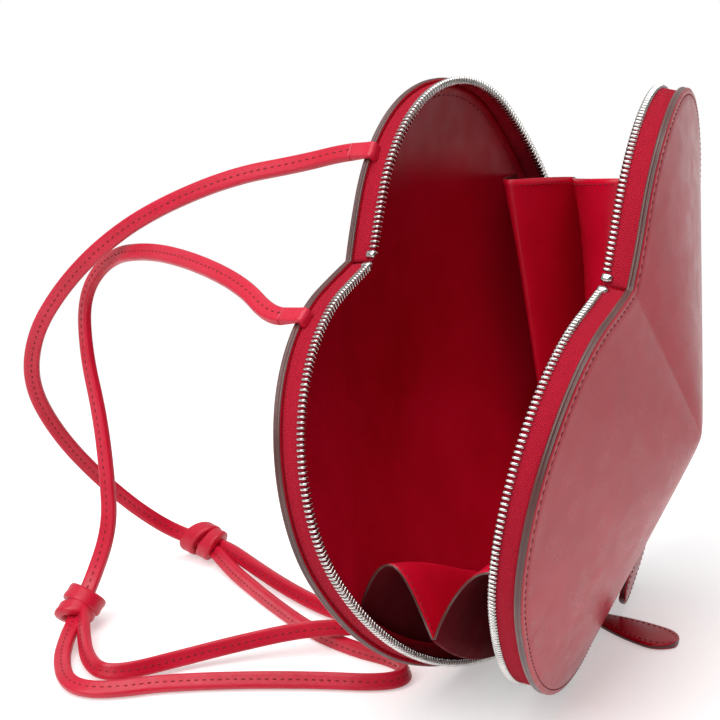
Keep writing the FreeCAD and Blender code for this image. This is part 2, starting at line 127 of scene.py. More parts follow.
def white_surround():
    """White to the camera, brighter overhead as light, and a white sweep in reflections."""
    world = bpy.data.worlds.new("white_surround")
    bpy.context.scene.world = world
    nodes, links = node_tree(world)
    place = nodes.new("ShaderNodeTexCoord")
    far = nodes.new("ShaderNodeVectorMath")
    far.operation = "DOT_PRODUCT"
    far.inputs[1].default_value = FAR_SIDE
    links.new(place.outputs["Generated"], far.inputs[0])
    height = nodes.new("ShaderNodeSeparateXYZ")
    links.new(place.outputs["Generated"], height.inputs[0])
    light = between(nodes, links, height.outputs["Z"], SKY_SPAN, SURROUND_LIGHT)
    shine = between(nodes, links, far.outputs["Value"], FAR_SPAN, SWEEP_SHINE)
    path = nodes.new("ShaderNodeLightPath")
    strength = choose(nodes, links, path.outputs["Is Glossy Ray"], light, shine)
    for name in ("Is Transmission Ray", "Is Camera Ray"):
        strength = choose(nodes, links, path.outputs[name], strength, 1.0)
    nodes["Background"].inputs["Color"].default_value = WHITE
    links.new(strength, nodes["Background"].inputs["Strength"])


white_surround()
bpy.context.scene.view_settings.view_transform = "Standard"
print("surround gives light of", SURROUND_LIGHT)

# %% [markdown]
# The floor is pale and keeps the bag's shadow.  A little glow, seen by the camera alone, lifts
# it to the white of the photograph, and away from the bag it turns into plain white, so that
# no horizon shows.

# %% Floor
FLOOR_HALF = 3.0
FLOOR_WHITE = (0.93, 0.93, 0.93, 1)
FLOOR_ROUGHNESS = 0.6
FLOOR_GLOW = 0.43
FLOOR_FADE = (0.24, 0.5)


def new_material(name):
    material = bpy.data.materials.new(name)
    nodes, links = node_tree(material)
    return material, nodes, links, nodes["Principled BSDF"]


def maths(nodes, links, operation, *values):
    """Result of one sum, where each value is a number or another node's output."""
    node = nodes.new("ShaderNodeMath")
    node.operation = operation
    for socket, value in zip(node.inputs, values):
        if isinstance(value, float):
            socket.default_value = value
        else:
            links.new(value, socket)
    return node.outputs[0]


def seen_or_reflected(nodes, links):
    """1 for camera, glossy and transmission rays, 0 for rays that gather light."""
    path = nodes.new("ShaderNodeLightPath")
    total = path.outputs["Is Camera Ray"]
    for name in ("Is Glossy Ray", "Is Transmission Ray"):
        total = maths(nodes, links, "MAXIMUM", total, path.outputs[name])
    return total


def floor_finish():
    """Pale floor that turns to plain white away from the bag's shadow."""
    material, nodes, links, shader = new_material("pale_floor")
    shader.inputs["Base Color"].default_value = FLOOR_WHITE
    shader.inputs["Roughness"].default_value = FLOOR_ROUGHNESS
    shader.inputs["Emission Color"].default_value = WHITE
    seen = seen_or_reflected(nodes, links)
    links.new(maths(nodes, links, "MULTIPLY", seen, FLOOR_GLOW), shader.inputs["Emission Strength"])
    place = nodes.new("ShaderNodeTexCoord")
    away = nodes.new("ShaderNodeVectorMath")
    away.operation = "LENGTH"
    links.new(place.outputs["Object"], away.inputs[0])
    fade = between(nodes, links, away.outputs["Value"], FLOOR_FADE, (0, 1))
    white = nodes.new("ShaderNodeEmission")
    mix = nodes.new("ShaderNodeMixShader")
    links.new(maths(nodes, links, "MULTIPLY", fade, seen), mix.inputs["Fac"])
    links.new(shader.outputs[0], mix.inputs[1])
    links.new(white.outputs[0], mix.inputs[2])
    links.new(mix.outputs[0], nodes["Material Output"].inputs["Surface"])
    return material


def floor():
    corners = [(x * FLOOR_HALF, y * FLOOR_HALF, 0) for x, y in ((-1, -1), (1, -1), (1, 1), (-1, 1))]
    mesh = bpy.data.meshes.new("floor")
    mesh.from_pydata(corners, [], [(0, 1, 2, 3)])
    mesh.materials.append(floor_finish())
    plane = bpy.data.objects.new("floor", mesh)
    bpy.context.scene.collection.objects.link(plane)


floor()
print("floor", 2 * FLOOR_HALF, "m wide")

# %% [markdown]
# Two soft boxes light the bag: one in front on the left, above the camera, and one overhead.
# They are large and close, so the shadow's edge is soft.

# %% Soft boxes
SOFT_BOXES = {"soft_box": ((-0.23, -0.89, 0.92), 0.9, 11.0), "top_box": ((0.0, -0.11, 1.3), 0.9, 9.0)}


def soft_box(name, place, size, watts):
    light = bpy.data.lights.new(name, "AREA")
    light.size = size
    light.energy = watts
    lamp = bpy.data.objects.new(name, light)
    lamp.location = place
    lamp.rotation_euler = (-Vector(place)).to_track_quat("-Z", "Y").to_euler()
    bpy.context.scene.collection.objects.link(lamp)


for name, (place, size, watts) in SOFT_BOXES.items():
    soft_box(name, place, size, watts)
    print(name, watts, "W at", place)

# %% [markdown]
# Materials are mixed from noise, so they have no pictures and no seams.  Each one gives its
# colour a slow drift, its roughness a finer one and its surface a grain at the real scale.
# Object coordinates are metres here, so a noise scale of 1000 is a pattern of about 1 mm.

# %% Material helpers
NOISE_SPAN = (0.3, 0.7)


def noise(nodes, links, scale, detail=3.0):
    """Noise value at a scale in waves per metre."""
    place = nodes.new("ShaderNodeTexCoord")
    texture = nodes.new("ShaderNodeTexNoise")
    texture.inputs["Scale"].default_value = scale
    texture.inputs["Detail"].default_value = detail
    links.new(place.outputs["Object"], texture.inputs["Vector"])
    return texture.outputs["Fac"]


def ramp(nodes, links, value, tones):
    """Colour between two tones, by a value around one half."""
    mix = nodes.new("ShaderNodeValToRGB")
    for stop, position, tone in zip(mix.color_ramp.elements, NOISE_SPAN, tones):
        stop.position, stop.color = position, (*tone, 1)
    links.new(value, mix.inputs["Fac"])
    return mix.outputs["Color"]


def spread(nodes, links, value, low_high):
    """Number between two others, by a value around one half."""
    return between(nodes, links, value, NOISE_SPAN, low_high, "LINEAR")


def bump(nodes, links, height, distance, strength, after=None):
    made = nodes.new("ShaderNodeBump")
    made.inputs["Distance"].default_value = distance
    made.inputs["Strength"].default_value = strength
    links.new(height, made.inputs["Height"])
    if after is not None:
        links.new(after, made.inputs["Normal"])
    return made.outputs["Normal"]


print("noise is spread over", NOISE_SPAN)

# %% [markdown]
# The outer leather is glossy cherry red.  Inside, the bag is lined with a smoother, darker
# leather, the gussets are a brighter one whose extra brightness is painted light, and a gusset's
# hidden side is suede painted dark as shade.  Cut edges are painted brown, and the seams are
# sewn with a dark red thread.

# %% Leather, edge paint and thread
DRIFT_WAVES, DRIFT_DETAIL = 55.0, 2.0
HANDLED_WAVES, HANDLED_DETAIL = 140.0, 1.0
CREASE_WAVES, CREASE_DETAIL, CREASE_STRENGTH = 420.0, 1.0, 0.25
PORE_WAVES, PORE_DETAIL, PORE_STRENGTH = 1600.0, 0.0, 0.15
COAT_ROUGHNESS = 0.3


def leather_finish(name, tones, rough, grain_depth, gloss=0.5, coat=0.0):
    """Smooth calf leather: a slow drift of colour, soft creases and fine pores."""
    material, nodes, links, shader = new_material(name)
    drift = noise(nodes, links, DRIFT_WAVES, DRIFT_DETAIL)
    links.new(ramp(nodes, links, drift, tones), shader.inputs["Base Color"])
    handled = noise(nodes, links, HANDLED_WAVES, HANDLED_DETAIL)
    links.new(spread(nodes, links, handled, rough), shader.inputs["Roughness"])
    pores = noise(nodes, links, PORE_WAVES, PORE_DETAIL)
    creases = noise(nodes, links, CREASE_WAVES, CREASE_DETAIL)
    normal = bump(nodes, links, creases, grain_depth, CREASE_STRENGTH)
    normal = bump(nodes, links, pores, grain_depth / 2, PORE_STRENGTH, normal)
    links.new(normal, shader.inputs["Normal"])
    shader.inputs["Specular IOR Level"].default_value = gloss
    shader.inputs["Coat Weight"].default_value = coat
    shader.inputs["Coat Roughness"].default_value = COAT_ROUGHNESS
    return material


BAG_LEATHER = leather_finish(
    "bag_leather", ((0.50, 0.005, 0.022), (0.57, 0.007, 0.030)), (0.26, 0.34), 0.00003, 0.29)
STRAP_LEATHER = leather_finish(
    "strap_leather", ((0.56, 0.006, 0.030), (0.64, 0.010, 0.042)), (0.34, 0.46), 0.00030, 0.45)
LINING_LEATHER = leather_finish(
    "lining_leather", ((0.46, 0.002, 0.017), (0.52, 0.003, 0.024)), (0.34, 0.44), 0.00006, 0.2)
# The gussets' leather is brighter than the panels': painted light for the light the gussets catch inside
# the bag.
PAINTED_LIT_GUSSET_LEATHER = leather_finish(
    "painted_lit_gusset_leather", ((0.58, 0.003, 0.023), (0.66, 0.004, 0.031)), (0.32, 0.42), 0.00006, 0.3)
# The gusset's hidden side is suede painted nearly black: a painted shade for the hollows behind the folds.
PAINTED_SHADE_SUEDE = leather_finish(
    "painted_shade_suede", ((0.085, 0.0015, 0.005), (0.135, 0.003, 0.009)), (0.70, 0.85), 0.00030, 0.1)
EDGE_PAINT = leather_finish(
    "edge_paint", ((0.075, 0.026, 0.024), (0.12, 0.045, 0.040)), (0.28, 0.42), 0.00025, coat=0.1)
THREAD_TONES = ((0.20, 0.004, 0.012), (0.32, 0.008, 0.02))
THREAD_WAVES = 900.0
THREAD_ROUGHNESS = 0.6
TWIST_WAVES, TWIST_DEPTH, TWIST_STRENGTH = 5000.0, 0.0001, 0.6


def thread_finish():
    material, nodes, links, shader = new_material("thread")
    shade = noise(nodes, links, THREAD_WAVES)
    links.new(ramp(nodes, links, shade, THREAD_TONES), shader.inputs["Base Color"])
    twist = noise(nodes, links, TWIST_WAVES)
    links.new(bump(nodes, links, twist, TWIST_DEPTH, TWIST_STRENGTH), shader.inputs["Normal"])
    shader.inputs["Roughness"].default_value = THREAD_ROUGHNESS
    return material


THREAD = thread_finish()
print("leathers", [m.name for m in (BAG_LEATHER, STRAP_LEATHER, LINING_LEATHER, PAINTED_LIT_GUSSET_LEATHER, PAINTED_SHADE_SUEDE)])

# %% [markdown]
# The zip is a woven crimson tape with polished nickel teeth.  The tape's weave is a
# herringbone, so its material needs to know how far along and across the tape a point is.
# The tape's mesh carries that as a UV map in metres, and waves make the two slants of thread.

# %% Zip tape and metal
WEAVE_PITCH = 0.0008
WEAVE_RIB = 0.0014
WEAVE_DEPTH, WEAVE_STRENGTH = 0.00025, 0.7
FUZZ_WAVES, FUZZ_DEPTH, FUZZ_STRENGTH = 3000.0, 0.00012, 0.5
TAPE_TONES = ((0.36, 0.007, 0.022), (0.52, 0.013, 0.038))
TAPE_ROUGHNESS, TAPE_GLOSS, TAPE_SHEEN = 0.85, 0.1, 0.02


def tape_finish():
    material, nodes, links, shader = new_material("zip_tape")
    place = nodes.new("ShaderNodeTexCoord")
    split = nodes.new("ShaderNodeSeparateXYZ")
    links.new(place.outputs["UV"], split.inputs[0])
    fold = maths(nodes, links, "PINGPONG", split.outputs["Y"], WEAVE_RIB)
    slant = maths(nodes, links, "ADD", split.outputs["X"], fold)
    turn = maths(nodes, links, "MULTIPLY", slant, 2 * math.pi / WEAVE_PITCH)
    wave = maths(nodes, links, "SINE", turn)
    height = between(nodes, links, wave, (-1, 1), (0, 1), "LINEAR")
    links.new(ramp(nodes, links, height, TAPE_TONES), shader.inputs["Base Color"])
    fuzz = noise(nodes, links, FUZZ_WAVES)
    normal = bump(nodes, links, height, WEAVE_DEPTH, WEAVE_STRENGTH)
    links.new(bump(nodes, links, fuzz, FUZZ_DEPTH, FUZZ_STRENGTH, normal), shader.inputs["Normal"])
    shader.inputs["Roughness"].default_value = TAPE_ROUGHNESS
    shader.inputs["Specular IOR Level"].default_value = TAPE_GLOSS
    shader.inputs["Sheen Weight"].default_value = TAPE_SHEEN
    return material


NICKEL_TONES = ((0.50, 0.48, 0.46), (0.68, 0.66, 0.64))
NICKEL_ROUGH = (0.14, 0.26)
TARNISH_WAVES, TARNISH_DETAIL = 400.0, 4.0
POLISH_WAVES = 900.0


def nickel_finish():
    material, nodes, links, shader = new_material("nickel")
    tarnish = noise(nodes, links, TARNISH_WAVES, TARNISH_DETAIL)
    links.new(ramp(nodes, links, tarnish, NICKEL_TONES), shader.inputs["Base Color"])
    polish = noise(nodes, links, POLISH_WAVES)
    links.new(spread(nodes, links, polish, NICKEL_ROUGH), shader.inputs["Roughness"])
    shader.inputs["Metallic"].default_value = 1.0
    return material


ZIP_TAPE = tape_finish()
NICKEL = nickel_finish()
print("zip finishes", ZIP_TAPE.name, NICKEL.name)

# %% [markdown]
# Most pieces here are lofts: rows of points, each joined to the next.  One helper turns rows
# into a closed mesh, gives it materials by face, and turns its faces outwards.  A second one
# sends the piece to its body and hides the solid it stands for.

# %% Mesh helpers
TINY = 1e-12


def piece(name, points, faces, materials, face_slots=None, uvs=None):
    mesh = bpy.data.meshes.new(name)
    mesh.from_pydata([tuple(p) for p in points], [], faces)
    for material in materials:
        mesh.materials.append(material)
    if face_slots is not None:
        mesh.polygons.foreach_set("material_index", np.asarray(face_slots, np.int32))
    if uvs is not None:
        layer = mesh.uv_layers.new(name="length_and_width")
        loops = np.zeros(len(mesh.loops), np.int32)
        mesh.loops.foreach_get("vertex_index", loops)
        layer.data.foreach_set("uv", np.asarray(uvs, np.float32)[loops].ravel())
    shape = bmesh.new()
    shape.from_mesh(mesh)
    bmesh.ops.recalc_face_normals(shape, faces=shape.faces)
    shape.to_mesh(mesh)
    shape.free()
    mesh.polygons.foreach_set("use_smooth", np.ones(len(mesh.polygons), bool))
    made = bpy.data.objects.new(name, mesh)
    bpy.context.scene.collection.objects.link(made)
    return made


def loft(rows, start=None, end=None):
    """Points and faces of closed rows in turn, ended by a flat cap or, where given, by a point."""
    rows = np.asarray(rows, float)
    count, size = rows.shape[:2]
    points = [*rows.reshape(-1, 3)]
    around = np.arange(size)
    following = np.roll(around, -1)
    faces = []
    for row in range(count - 1):
        low = row * size
        faces += [(low + a, low + b, low + size + b, low + size + a) for a, b in zip(around, following)]
    for cap, low in ((start, 0), (end, (count - 1) * size)):
        if cap is None:
            faces.append(tuple(int(low + a) for a in around))
        else:
            points.append(cap)
            faces += [(low + a, low + b, len(points) - 1) for a, b in zip(around, following)]
    return points, faces


def loop_faces(count, size):
    """Faces of closed rows in turn, with the last joined to the first."""
    faces = []
    for row in range(count):
        low, high = row * size, (row + 1) % count * size
        for a in range(size):
            b = (a + 1) % size
            faces.append((low + a, low + b, high + b, high + a))
    return faces


def joined(parts):
    """Points and faces of several meshes as one."""
    points, faces = [], []
    for more, made in parts:
        faces += [tuple(i + len(points) for i in face) for face in made]
        points += more
    return points, faces


def seat(made, body, slot, *nodes):
    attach(made, body)
    if nodes:
        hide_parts(*nodes)
    return made


def unit(vectors):
    vectors = np.asarray(vectors, float)
    return vectors / np.maximum(np.linalg.norm(vectors, axis=-1, keepdims=True), TINY)


print("a loft of three squares has", len(loft(np.zeros((3, 4, 3)))[1]), "faces")

# %% [markdown]
# A seam is a run of short stitches.  Each stitch is a small bead of thread that rises out of
# one hole and sinks into the next, so it is a spindle bent over the surface.

# %% Stitches
STITCH_SHARES = np.array([-0.5, -0.32, 0.0, 0.32, 0.5])
STITCH_FAT_SHARES = np.array([0.35, 0.85, 1.0, 0.85, 0.35])
STITCH_RISE_SHARES = np.array([-0.9, -0.1, 0.25, -0.1, -0.9])
STITCH_SIDES = 6
STITCH_FILL = 0.64


def even(path, step):
    """A path again, with points a step apart; columns past the third go along with it."""
    path = np.asarray(path, float)
    along = np.concatenate([[0], np.cumsum(np.linalg.norm(np.diff(path[:, :3], axis=0), axis=1))])
    places = np.linspace(0, along[-1], max(2, round(along[-1] / step) + 1))
    return np.stack([np.interp(places, along, path[:, k]) for k in range(path.shape[1])], axis=1)


def stitch_run(path, normals, pitch, radius):
    """Points and faces of a row of stitches along a path on a surface with these normals."""
    both = even(np.hstack([path, normals]), pitch)
    middles = (both[1:, :3] + both[:-1, :3]) / 2
    headings = unit(both[1:, :3] - both[:-1, :3])
    ups = unit(both[1:, 3:] + both[:-1, 3:])
    angles = np.arange(STITCH_SIDES) * 2 * math.pi / STITCH_SIDES
    stitches = []
    for middle, heading, up in zip(middles, headings, ups):
        side = np.cross(heading, up)
        rows = []
        for along, fat, rise in zip(STITCH_SHARES, STITCH_FAT_SHARES, STITCH_RISE_SHARES):
            centre = middle + heading * along * pitch * STITCH_FILL + up * rise * radius
            ring = np.outer(np.cos(angles), side) + np.outer(np.sin(angles), up)
            rows.append(centre + ring * radius * fat)
        stitches.append(loft(rows))
    return joined(stitches)


def sew(name, runs, body, slot, stitch):
    """Seam of runs, with a stitch's pitch and radius."""
    points, faces = joined(stitch_run(path, normals, *stitch) for path, normals in runs)
    return seat(piece(name, points, faces, [THREAD]), body, slot)


print("a stitch has", len(STITCH_SHARES), "rings of", STITCH_SIDES, "points")

# %% [markdown]
# The heart is drawn flat first.  Each half has a straight side, a wide arc, a round lobe and a
# short straight run into the notch.  Each panel is a cone over that outline, with its point
# outwards, so the height of the leather falls steadily from the apex to the rim.

# %% Heart outline
HALF_TIP_ANGLE = math.radians(58.0)
SIDE_LENGTH = 0.047
SIDE_RADIUS = 0.126
SIDE_TURN = math.radians(66.0)
LOBE_RADIUS = 0.056
LOBE_TURN = math.radians(107.0)
APEX = np.array([0.0, 0.110])
RIM_RADIUS = 0.105
PANEL_SLOPE_SHARE = 0.23
APEX_ROUND = 0.004
ROW_GAP = 0.001
TAPE_WIDTH = 0.0083


def polar(radius, angle):
    return np.array([radius * math.cos(angle), radius * math.sin(angle)])


class Heart:
    """Right half of the outline, drawn in by an inset: a line, two arcs and a line to the notch."""

    def __init__(self, inset=0.0):
        self.along = np.array([math.sin(HALF_TIP_ANGLE), math.cos(HALF_TIP_ANGLE)])
        inward = np.array([-self.along[1], self.along[0]])
        self.tip = np.array([0, inset / math.sin(HALF_TIP_ANGLE)])
        self.start = inward * inset
        self.side_end = self.start + self.along * SIDE_LENGTH
        self.side_centre = self.along * SIDE_LENGTH + inward * SIDE_RADIUS
        self.side_radius = SIDE_RADIUS - inset
        self.first = -HALF_TIP_ANGLE
        self.second = self.first + SIDE_TURN
        self.lobe_centre = self.side_centre + polar(SIDE_RADIUS - LOBE_RADIUS, self.second)
        self.lobe_radius = LOBE_RADIUS - inset
        self.last = self.second + LOBE_TURN
        self.lobe_end = self.lobe_centre + polar(self.lobe_radius, self.last)
        self.into_notch = np.array([-math.sin(self.last), math.cos(self.last)])
        self.notch_side = self.lobe_end[0] / math.sin(self.last)
        self.side_arc = self.side_radius * SIDE_TURN
        self.lobe_arc = self.lobe_radius * LOBE_TURN
        self.length = SIDE_LENGTH + self.side_arc + self.lobe_arc + self.notch_side

    def share(self, value):
        """Place at 0 to 4: along the side, the side's arc, the lobe and the notch side."""
        if value <= 1:
            return self.tip + (self.side_end - self.tip) * value
        if value <= 2:
            return self.side_centre + polar(self.side_radius, self.first + SIDE_TURN * (value - 1))
        if value <= 3:
            return self.lobe_centre + polar(self.lobe_radius, self.second + LOBE_TURN * (value - 2))
        return self.lobe_end + self.into_notch * self.notch_side * (value - 3)

    def at(self, distance):
        """Place and heading at a distance from the tip along the outline."""
        if distance <= SIDE_LENGTH:
            return self.start + self.along * distance, self.along
        distance -= SIDE_LENGTH
        if distance <= self.side_arc:
            angle = self.first + distance / self.side_radius
            place = self.side_centre + polar(self.side_radius, angle)
            return place, np.array([-math.sin(angle), math.cos(angle)])
        distance -= self.side_arc
        if distance <= self.lobe_arc:
            angle = self.second + distance / self.lobe_radius
            place = self.lobe_centre + polar(self.lobe_radius, angle)
            return place, np.array([-math.sin(angle), math.cos(angle)])
        return self.lobe_end + self.into_notch * (distance - self.lobe_arc), self.into_notch


OUTLINE_STEPS = (13, 47, 47, 15)
OUTLINE_SHARES = np.concatenate([
    [0], *(np.linspace(part, part + 1, steps + 1)[1:] for part, steps in enumerate(OUTLINE_STEPS))])


def heart_loop(inset):
    """Whole outline as a closed loop, from the tip up the right half and down the left."""
    heart = Heart(inset)
    right = np.array([heart.share(value) for value in OUTLINE_SHARES])
    return np.vstack([right, right[-2:0:-1] * (-1, 1)])


def panel_height(places):
    """Inner face of a panel's leather above the middle of the closed bag."""
    away = np.linalg.norm(np.asarray(places) - APEX, axis=-1)
    soft = np.sqrt(away ** 2 + APEX_ROUND ** 2)
    return ROW_GAP / 2 + TAPE_WIDTH + PANEL_SLOPE_SHARE * (RIM_RADIUS - soft)


print("outline of", round(2 * Heart().length, 3), "m, notch at", Heart().share(4).round(4))

# %% [markdown]
# The closed bag has its own frame: x across the heart, y up from the tip and z from back to
# front.  It lies on one side of the heart, leaning and turned a little.  The front panel is
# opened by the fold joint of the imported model, so its place comes from that joint.

# %% Where the bag lies
LEAN = math.radians(40.5)
TILT = math.radians(10.3)
TURN = math.radians(-6.0)
TIP_AT = Vector((0.0047, 0.0774, 0.01076))
JOINTS = {joint["name"]: joint for joint in frame["joints"]}


def lying():
    upright = Matrix((
        (0, 0, 1), (math.cos(LEAN), -math.sin(LEAN), 0), (math.sin(LEAN), math.cos(LEAN), 0)))
    laid = Matrix.Rotation(TURN, 3, "Z") @ Matrix.Rotation(-TILT, 3, "Y") @ upright
    return Matrix.Translation(TIP_AT) @ laid.to_4x4()


def opening():
    """Turn of the front from closed to open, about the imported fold."""
    fold = JOINTS["front_fold"]
    pivot = Matrix.Translation(Vector(fold["pos_m"]))
    turn = Matrix.Rotation(math.radians(-fold["range_deg"][0]), 4, Vector(fold["axis"]))
    return pivot @ turn @ pivot.inverted()


BACK = np.array(lying()) @ np.diag((1, 1, -1, 1))
FRONT = np.array(opening() @ lying())
SIDES = {"back": BACK, "front": FRONT}


def moved(points, matrix, mirrored=False):
    """Points of the closed front's right half, moved to a side of the bag."""
    points = np.asarray(points, float) * ((-1 if mirrored else 1), 1, 1)
    return points @ matrix[:3, :3].T + matrix[:3, 3]


def turned(vectors, matrix, mirrored=False):
    return (np.asarray(vectors, float) * ((-1 if mirrored else 1), 1, 1)) @ matrix[:3, :3].T


print("front apex", moved([(*APEX, panel_height(APEX))], FRONT).round(4))

# %% [markdown]
# A panel is stiff leather about 2.6 mm thick.  Its rim is cut square, painted and rubbed to
# two soft beads, because it is two layers glued together.  A dart runs from the notch to the
# apex, where the flat leather was taken in to make the cone: each side of it dips a little.

# %% Panels
LEATHER = 0.0026
DART_DEPTH = 0.0016
DART_REACH = math.radians(38.0)
DART_AT = 0.045
DART_FALL = 1.6
SEAM_INSET = 0.0020
SEAM_SINK = 0.00018
PANEL_STITCH = (0.0028, 0.00024)
RIM_PROFILE = [
    (0.0009, 1.0), (0.0004, 0.985), (0.0001, 0.91), (0.0, 0.78), (0.0001, 0.62), (0.0004, 0.54),
    (0.0001, 0.46), (0.0, 0.3), (0.0001, 0.12), (0.0004, 0.02), (0.0009, 0.0)]
RIM_PAINTED = slice(2, 9)
FACE_INSETS = (0.0012, 0.0016, SEAM_INSET, 0.0024, 0.0046)
CONE_SHARES = np.linspace(1, 0.02, 26)
BULGES = {"back": 0.0, "front": 0.004}


def dart(places):
    """How far the face dips on both sides of the dart."""
    out = np.asarray(places) - APEX
    angle = np.abs(np.arctan2(out[:, 0], out[:, 1]))
    near = np.clip(1 - angle / DART_REACH, 0, 1) ** DART_FALL
    return DART_DEPTH * near * np.linalg.norm(out, axis=1) / DART_AT


def on_panel(places, rise):
    return np.column_stack([places, panel_height(places) + rise - dart(places)])


def cone_rows(inset, rise, bulge):
    """Rows of a panel's face from the apex to a loop near the rim, pushed out towards the apex."""
    out = heart_loop(inset) - APEX
    return [on_panel(APEX + out * share, rise + bulge * (1 - share)) for share in CONE_SHARES[::-1]]


def panel_rows(bulge):
    """Closed rows from the apex outside, over the rim, to the apex inside."""
    rows = cone_rows(FACE_INSETS[-1], LEATHER, bulge)[:-1]
    for inset in FACE_INSETS[::-1]:
        sunk = SEAM_SINK if inset == SEAM_INSET else 0
        rows.append(on_panel(heart_loop(inset), LEATHER - sunk))
    painted = len(rows)
    rows += [on_panel(heart_loop(inset), LEATHER * share) for inset, share in RIM_PROFILE]
    rows += cone_rows(FACE_INSETS[-1], 0, bulge)[::-1]
    return rows, painted


def panel(side):
    rows, painted = panel_rows(BULGES[side])
    apex = (*APEX, panel_height(APEX) + BULGES[side])
    tops = [(apex[0], apex[1], apex[2] + LEATHER), apex]
    points, faces = loft(rows, *tops)
    size = len(rows[0])
    band = np.zeros(len(faces), int)
    first, last = painted + RIM_PAINTED.start, painted + RIM_PAINTED.stop
    band[first * size:last * size] = 1
    points = moved(points, SIDES[side])
    made = piece(f"{side}_panel_leather", points, faces, [BAG_LEATHER, EDGE_PAINT], band)
    return seat(made, side, "bag_leather", f"{side}_panel")


def panel_normals(places):
    out = unit(places - APEX) * PANEL_SLOPE_SHARE
    return unit(np.column_stack([out, np.ones(len(places))]))


def seam_runs(side, inset, rise, facing):
    """Two runs of a seam round a face at an inset, which meet at the tip and stop at the notch."""
    loop = heart_loop(inset)
    notch = len(OUTLINE_SHARES) - 1
    runs = []
    for half in (loop[:notch], np.vstack([loop[notch + 1:], loop[:1]])):
        normals = facing * turned(panel_normals(half), SIDES[side])
        runs.append((moved(on_panel(half, rise), SIDES[side]), normals))
    return runs


def panel_seam(side):
    runs = seam_runs(side, SEAM_INSET, LEATHER - SEAM_SINK / 2, 1)
    return sew(f"{side}_panel_seam", runs, side, "bag_leather", PANEL_STITCH)


for side in SIDES:
    print(panel(side).name, panel_seam(side).name)

# %% [markdown]
# The lining is a second, thinner cone inside the first.  It stops just short of the foot of
# the zip tape, and a line of stitches runs near its edge.

# %% Linings
LINING = 0.0010
LINING_CLEARANCE = 0.0001
LINING_INSET = 0.0025
LINING_ROOM = 0.0015
LINING_SEAM = 0.0060
LINING_STITCH = (0.0030, 0.00025)
LINING_EDGE = [(0.0004, 1.0), (0.0, 0.8), (0.0, 0.25), (0.0004, 0.0)]


def lining(side):
    top = -LINING_CLEARANCE
    rows = cone_rows(LINING_INSET + LINING_ROOM, top, BULGES[side])
    for inset, share in LINING_EDGE:
        rows.append(on_panel(heart_loop(LINING_INSET + inset), top - LINING * (1 - share)))
    rows += cone_rows(LINING_INSET + LINING_ROOM, top - LINING, BULGES[side])[::-1]
    apex = (*APEX, panel_height(APEX) + BULGES[side] + top)
    points, faces = loft(rows, apex, (apex[0], apex[1], apex[2] - LINING))
    made = piece(f"{side}_lining_leather", moved(points, SIDES[side]), faces, [LINING_LEATHER])
    return seat(made, side, "lining_leather", f"{side}_lining")


def lining_seam(side):
    runs = seam_runs(side, LINING_SEAM, -LINING_CLEARANCE - LINING, -1)
    return sew(f"{side}_lining_seam", runs, side, "lining_leather", LINING_STITCH)


for side in SIDES:
    print(lining(side).name, lining_seam(side).name)

# %% [markdown]
# Each half of each zip is a woven tape that stands on the panel's rim, with teeth crimped on
# its free edge.  The tape is a thin strip with a corded edge.

# %% Zip tapes
TAPE_THICKNESS = 0.0009
TAPE_INSET = 0.0015
ROW_SLOPE_SHARE = 0.15
TOOTH_WIDTH = 0.0028
TOOTH_HEIGHT = 0.0026
TOOTH_GRIP = 0.0018
HELD_ROW_START = 0.013
FREE_ROW_ROOM = 0.0035
NOTCH_ROOM = 0.0028
TAPE_ROOM = 0.0006
STOP_LENGTH = 0.0026
STOP_WIDTH = 0.0030
STOP_HEIGHT = 0.0034
SLIDER_LENGTH = 0.010
SLIDERS_AT = {"upper": 0.022, "floor": 0.028}
HELD_BY = {"upper": "front", "floor": "back"}
TAPE_FOOT_ROOM = 0.00005
TAPE_CORD_SHARE = 0.35
TAPE_CORD_FALL = 5
TAPE_EDGE_SHARE = 0.6
TAPE_STEP = 0.0012
TAPE_ACROSS = np.linspace(0, 1, 7)


def row_height(place):
    return ROW_GAP / 2 + ROW_SLOPE_SHARE * (RIM_RADIUS - np.linalg.norm(place - APEX))


ROW = Heart(TAPE_INSET + TAPE_THICKNESS / 2)
ROW_END = ROW.length - NOTCH_ROOM / 2 - STOP_LENGTH


def row_start(side, half):
    if HELD_BY[half] == side:
        return HELD_ROW_START
    return SLIDERS_AT[half] + SLIDER_LENGTH / 2 + FREE_ROW_ROOM


def tape(side, half):
    """Strip from the panel to the teeth, with rounded edges, as closed rings along the row."""
    start = row_start(side, half)
    rows, uvs = [], []
    for distance in even([(start,), (ROW.length - TAPE_ROOM,)], TAPE_STEP).ravel():
        place, heading = ROW.at(distance)
        out = np.array([heading[1], -heading[0]])
        top = panel_height(place) - TAPE_FOOT_ROOM
        bottom = row_height(place) + TOOTH_HEIGHT - TOOTH_GRIP
        ring = []
        for face in (1, -1):
            for share in TAPE_ACROSS[::face]:
                cord = TAPE_CORD_SHARE * max(0.0, 1 - share * TAPE_CORD_FALL)
                edge = TAPE_EDGE_SHARE if share in (0, 1) else 1.0
                off = out * face * TAPE_THICKNESS / 2 * (edge + cord)
                ring.append((*(place + off), bottom + (top - bottom) * share))
                uvs.append((distance, TAPE_WIDTH * share))
        rows.append(ring)
    points, faces = loft(rows)
    points = moved(points, SIDES[side], half == "floor")
    made = piece(f"{side}_{half}_tape_cloth", points, faces, [ZIP_TAPE], uvs=uvs)
    return seat(made, side, "zip_tape", f"{side}_{half}_tape")


for side in SIDES:
    print([tape(side, half).name for half in SLIDERS_AT])

# %% [markdown]
# A tooth is a small rounded block with a narrow head, so it is a loft of eight sided rings.
# Each ring has its height, length and width as shares of the block's.  The stop at the end of
# a row is a larger block of the same kind.

